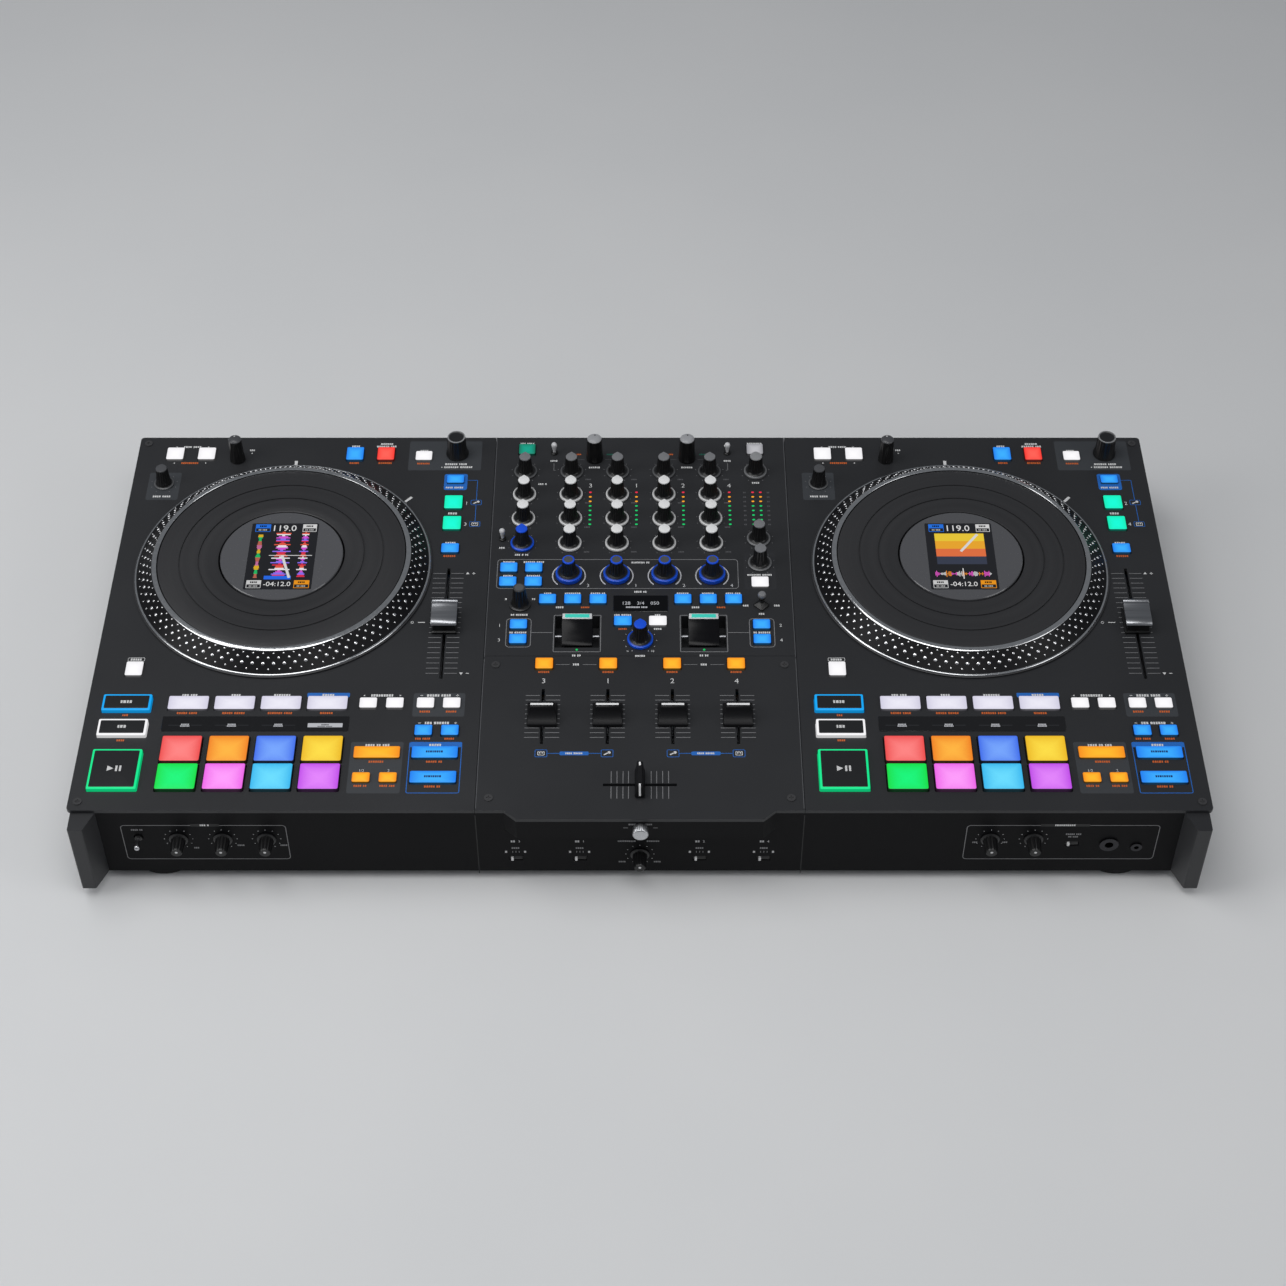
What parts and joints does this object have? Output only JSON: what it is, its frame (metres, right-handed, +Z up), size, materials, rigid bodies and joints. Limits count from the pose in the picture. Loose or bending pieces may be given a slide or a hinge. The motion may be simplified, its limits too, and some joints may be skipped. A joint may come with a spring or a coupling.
{
  "type": "dj controller",
  "caption": "Two-deck DJ controller: motor-driven record platters with centre screens, lit pads and buttons, and a mixer with knobs, faders and paddles in a low black case.",
  "frame": {"origin": "middle of the case's footprint, on the surface that the feet stand on", "axes": "+X to the player's right, +Y from the player to the back, +Z up"},
  "size_m": [0.83, 0.414, 0.105],
  "materials": {
    "plate_satin": "satin charcoal powder coat",
    "case_black": "fine-grained matt black",
    "tray_steel": "matt black powder coat",
    "foot_rubber": "soft matt rubber",
    "screw_black": "black oxide",
    "board_green": "green solder mask",
    "supply_metal": "folded plate",
    "hub_metal": "turned",
    "motor_core": "lacquered laminations and windings",
    "display_glass": "smoked gloss",
    "window_black": "gloss black",
    "track_steel": "brushed",
    "socket_metal": "nickel plated",
    "knob_black": "soft-touch black",
    "switch_metal": "bright lever with white tip",
    "platter_metal": "turned, black strobe band",
    "record_black": "satin grooved",
    "cap_metal": "satin metallic",
    "cap_black": "satin black",
    "button_lit": "translucent, lit from below",
    "button_dark": "dark with a lit edge",
    "pad_rubber": "translucent silicone, lit from below",
    "knob_silver": "turned"
  },
  "bodies": {
    "case": {"bottom_tray": "tray_steel", "front_panel": "case_black", "rear_panel": "case_black", "left_end_cheek": "case_black", "right_end_cheek": "case_black", "left_deck_plate": "plate_satin", "right_deck_plate": "plate_satin", "mixer_plate": "plate_satin", "fader_plate": "plate_satin", "feet": "foot_rubber", "plate_screws": "screw_black", "circuit_boards": "board_green", "power_supply": "supply_metal", "jog_hubs": "hub_metal", "motor_stators": "motor_core", "jog_displays": "display_glass", "indicator_windows": "window_black", "rear_sockets": "socket_metal", "front_jacks": "socket_metal", "fader_tracks": "track_steel", "mixer_knobs": "knob_black", "front_knobs": "knob_black", "switches": "switch_metal"},
    "left_platter": {"left_platter": "platter_metal", "left_record": "record_black"},
    "left_pitch_cap": {"left_pitch_cap": "cap_metal"},
    "left_play_button": {"left_play_button": "button_dark"},
    "left_cue_button": {"left_cue_button": "button_dark"},
    "left_sync_button": {"left_sync_button": "button_dark"},
    "left_pads": {"left_pads": "pad_rubber"},
    "left_deck_buttons": {"left_deck_buttons": "button_lit"},
    "left_scroll_knob": {"left_scroll_knob": "knob_black"},
    "left_stop_time_knob": {"left_stop_time_knob": "knob_black"},
    "right_platter": {"right_platter": "platter_metal", "right_record": "record_black"},
    "right_pitch_cap": {"right_pitch_cap": "cap_metal"},
    "right_play_button": {"right_play_button": "button_dark"},
    "right_cue_button": {"right_cue_button": "button_dark"},
    "right_sync_button": {"right_sync_button": "button_dark"},
    "right_pads": {"right_pads": "pad_rubber"},
    "right_deck_buttons": {"right_deck_buttons": "button_lit"},
    "right_scroll_knob": {"right_scroll_knob": "knob_black"},
    "right_stop_time_knob": {"right_stop_time_knob": "knob_black"},
    "channel_fader_cap_1": {"channel_fader_cap_1": "cap_metal"},
    "channel_fader_cap_2": {"channel_fader_cap_2": "cap_metal"},
    "channel_fader_cap_3": {"channel_fader_cap_3": "cap_metal"},
    "channel_fader_cap_4": {"channel_fader_cap_4": "cap_metal"},
    "crossfader_cap": {"crossfader_cap": "cap_black"},
    "left_fx_paddle": {"left_fx_paddle": "button_dark"},
    "right_fx_paddle": {"right_fx_paddle": "button_dark"},
    "channel_fx_knob_1": {"channel_fx_knob_1": "knob_black"},
    "channel_fx_knob_2": {"channel_fx_knob_2": "knob_black"},
    "channel_fx_knob_3": {"channel_fx_knob_3": "knob_black"},
    "channel_fx_knob_4": {"channel_fx_knob_4": "knob_black"},
    "main_volume_knob": {"main_volume_knob": "knob_black"},
    "fx_depth_knob": {"fx_depth_knob": "knob_black"},
    "fx_select_knob": {"fx_select_knob": "knob_black"},
    "mixer_buttons": {"mixer_buttons": "button_lit"},
    "channel_cue_buttons": {"channel_cue_buttons": "button_lit"},
    "fader_tension_knob": {"fader_tension_knob": "knob_silver"}
  },
  "joints": [
    {"name": "left_platter_spin", "type": "hinge", "parent": "case", "child": "left_platter", "pos_m": [-0.2819, 0.055, 0.081], "axis": [0, 0, 1], "continuous": true},
    {"name": "left_pitch_slide", "type": "slide", "parent": "case", "child": "left_pitch_cap", "axis": [0, 1, 0], "range_m": [-0.05, 0.05]},
    {"name": "left_play_button_press", "type": "slide", "parent": "case", "child": "left_play_button", "axis": [0, 0, 1], "range_m": [-0.0008, 0], "stiffness_N_per_m": 600, "springref_m": 0.001},
    {"name": "left_cue_button_press", "type": "slide", "parent": "case", "child": "left_cue_button", "axis": [0, 0, 1], "range_m": [-0.0008, 0], "stiffness_N_per_m": 400, "springref_m": 0.001},
    {"name": "left_sync_button_press", "type": "slide", "parent": "case", "child": "left_sync_button", "axis": [0, 0, 1], "range_m": [-0.0008, 0], "stiffness_N_per_m": 400, "springref_m": 0.001},
    {"name": "left_pads_press", "type": "slide", "parent": "case", "child": "left_pads", "axis": [0, 0, 1], "range_m": [-0.001, 0], "stiffness_N_per_m": 1500, "springref_m": 0.001},
    {"name": "left_deck_buttons_press", "type": "slide", "parent": "case", "child": "left_deck_buttons", "axis": [0, 0, 1], "range_m": [-0.0008, 0], "stiffness_N_per_m": 1800, "springref_m": 0.001},
    {"name": "left_scroll_knob_turn", "type": "hinge", "parent": "case", "child": "left_scroll_knob", "pos_m": [-0.151, 0.187, 0.081], "axis": [0, 0, 1], "continuous": true},
    {"name": "left_stop_time_knob_turn", "type": "hinge", "parent": "case", "child": "left_stop_time_knob", "pos_m": [-0.389, 0.1515, 0.081], "axis": [0, 0, 1], "range_deg": [-140, 140]},
    {"name": "right_platter_spin", "type": "hinge", "parent": "case", "child": "right_platter", "pos_m": [0.2526, 0.055, 0.081], "axis": [0, 0, 1], "continuous": true},
    {"name": "right_pitch_slide", "type": "slide", "parent": "case", "child": "right_pitch_cap", "axis": [0, 1, 0], "range_m": [-0.05, 0.05]},
    {"name": "right_play_button_press", "type": "slide", "parent": "case", "child": "right_play_button", "axis": [0, 0, 1], "range_m": [-0.0008, 0], "stiffness_N_per_m": 600, "springref_m": 0.001},
    {"name": "right_cue_button_press", "type": "slide", "parent": "case", "child": "right_cue_button", "axis": [0, 0, 1], "range_m": [-0.0008, 0], "stiffness_N_per_m": 400, "springref_m": 0.001},
    {"name": "right_sync_button_press", "type": "slide", "parent": "case", "child": "right_sync_button", "axis": [0, 0, 1], "range_m": [-0.0008, 0], "stiffness_N_per_m": 400, "springref_m": 0.001},
    {"name": "right_pads_press", "type": "slide", "parent": "case", "child": "right_pads", "axis": [0, 0, 1], "range_m": [-0.001, 0], "stiffness_N_per_m": 1500, "springref_m": 0.001},
    {"name": "right_deck_buttons_press", "type": "slide", "parent": "case", "child": "right_deck_buttons", "axis": [0, 0, 1], "range_m": [-0.0008, 0], "stiffness_N_per_m": 1800, "springref_m": 0.001},
    {"name": "right_scroll_knob_turn", "type": "hinge", "parent": "case", "child": "right_scroll_knob", "pos_m": [0.3835, 0.187, 0.081], "axis": [0, 0, 1], "continuous": true},
    {"name": "right_stop_time_knob_turn", "type": "hinge", "parent": "case", "child": "right_stop_time_knob", "pos_m": [0.1455, 0.1515, 0.081], "axis": [0, 0, 1], "range_deg": [-140, 140]},
    {"name": "channel_fader_1_slide", "type": "slide", "parent": "case", "child": "channel_fader_cap_1", "axis": [0, 1, 0], "range_m": [-0.0225, 0.0225]},
    {"name": "channel_fader_2_slide", "type": "slide", "parent": "case", "child": "channel_fader_cap_2", "axis": [0, 1, 0], "range_m": [-0.0225, 0.0225]},
    {"name": "channel_fader_3_slide", "type": "slide", "parent": "case", "child": "channel_fader_cap_3", "axis": [0, 1, 0], "range_m": [-0.0225, 0.0225]},
    {"name": "channel_fader_4_slide", "type": "slide", "parent": "case", "child": "channel_fader_cap_4", "axis": [0, 1, 0], "range_m": [-0.0225, 0.0225]},
    {"name": "crossfader_slide", "type": "slide", "parent": "case", "child": "crossfader_cap", "axis": [1, 0, 0], "range_m": [-0.022, 0.022]},
    {"name": "left_fx_paddle_tilt", "type": "hinge", "parent": "case", "child": "left_fx_paddle", "pos_m": [-0.0485, -0.0145, 0.076], "axis": [1, 0, 0], "range_deg": [-10, 10], "stiffness_Nm_per_rad": 0.03},
    {"name": "right_fx_paddle_tilt", "type": "hinge", "parent": "case", "child": "right_fx_paddle", "pos_m": [0.0492, -0.0145, 0.076], "axis": [1, 0, 0], "range_deg": [-10, 10], "stiffness_Nm_per_rad": 0.03},
    {"name": "channel_fx_knob_1_turn", "type": "hinge", "parent": "case", "child": "channel_fx_knob_1", "pos_m": [-0.0561, 0.0465, 0.081], "axis": [0, 0, 1], "range_deg": [-140, 140]},
    {"name": "channel_fx_knob_2_turn", "type": "hinge", "parent": "case", "child": "channel_fx_knob_2", "pos_m": [-0.0185, 0.0465, 0.081], "axis": [0, 0, 1], "range_deg": [-140, 140]},
    {"name": "channel_fx_knob_3_turn", "type": "hinge", "parent": "case", "child": "channel_fx_knob_3", "pos_m": [0.0193, 0.0465, 0.081], "axis": [0, 0, 1], "range_deg": [-140, 140]},
    {"name": "channel_fx_knob_4_turn", "type": "hinge", "parent": "case", "child": "channel_fx_knob_4", "pos_m": [0.0568, 0.0465, 0.081], "axis": [0, 0, 1], "range_deg": [-140, 140]},
    {"name": "main_volume_knob_turn", "type": "hinge", "parent": "case", "child": "main_volume_knob", "pos_m": [0.0945, 0.1655, 0.081], "axis": [0, 0, 1], "range_deg": [-140, 140]},
    {"name": "fx_depth_knob_turn", "type": "hinge", "parent": "case", "child": "fx_depth_knob", "pos_m": [0.0002, -0.023, 0.081], "axis": [0, 0, 1], "range_deg": [-140, 140]},
    {"name": "fx_select_knob_turn", "type": "hinge", "parent": "case", "child": "fx_select_knob", "pos_m": [-0.0936, 0.0155, 0.081], "axis": [0, 0, 1], "continuous": true},
    {"name": "mixer_buttons_press", "type": "slide", "parent": "case", "child": "mixer_buttons", "axis": [0, 0, 1], "range_m": [-0.0008, 0], "stiffness_N_per_m": 1200, "springref_m": 0.001},
    {"name": "channel_cue_buttons_press", "type": "slide", "parent": "case", "child": "channel_cue_buttons", "axis": [0, 0, 1], "range_m": [-0.0008, 0], "stiffness_N_per_m": 400, "springref_m": 0.001},
    {"name": "fader_tension_turn", "type": "hinge", "parent": "case", "child": "fader_tension_knob", "pos_m": [0.0005, -0.1985, 0.071], "axis": [0, -1, 0], "range_deg": [-135, 135]}
  ]
}
